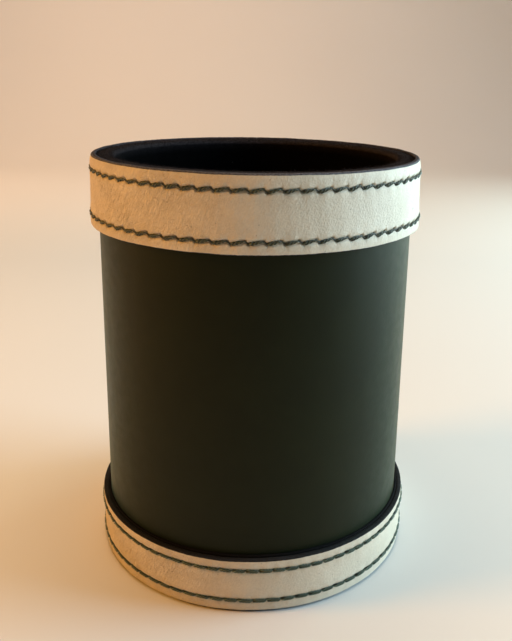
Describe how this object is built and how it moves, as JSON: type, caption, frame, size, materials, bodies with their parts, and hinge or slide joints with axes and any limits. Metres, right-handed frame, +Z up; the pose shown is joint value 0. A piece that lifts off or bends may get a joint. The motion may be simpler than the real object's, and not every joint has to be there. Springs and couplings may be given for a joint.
{
  "type": "pen holder cup",
  "caption": "Round open-topped desk cup for pens: a dark leather sleeve over a stiff tube, with a pale stitched leather band at the rim and the foot and a dark suede lining.",
  "frame": {"origin": "centre of the underside of the base cover, on the surface that the cup stands on", "axes": "+Z up along the cup's axis; +Y towards the back, where the wrap's and the bands' seams are; -Y towards the viewer"},
  "size_m": [0.0898, 0.0898, 0.1107],
  "materials": {
    "board": "plain grey-brown board, matt",
    "body_leather": "very dark green smooth leather, satin",
    "lining_suede": "black suede-like pile, matt",
    "base_suede": "black suede-like pile, matt",
    "band_leather": "off-white fine-grained leather, soft satin",
    "rim_ply": "grey brushed cut edge, matt",
    "dark_ply": "black stained leather edge, matt",
    "thread": "dark green twisted polyester sewing thread, slight sheen"
  },
  "bodies": {
    "root": {"core_tube": "board", "base_board": "board", "body_wrap": "body_leather", "wall_lining": "lining_suede", "floor_lining": "lining_suede", "base_cover": "base_suede", "top_band": "band_leather", "bottom_band": "band_leather", "top_band_backing": "rim_ply", "bottom_band_backing": "dark_ply", "top_band_upper_stitching": "thread", "top_band_lower_stitching": "thread", "bottom_band_upper_stitching": "thread", "bottom_band_lower_stitching": "thread"}
  },
  "joints": []
}
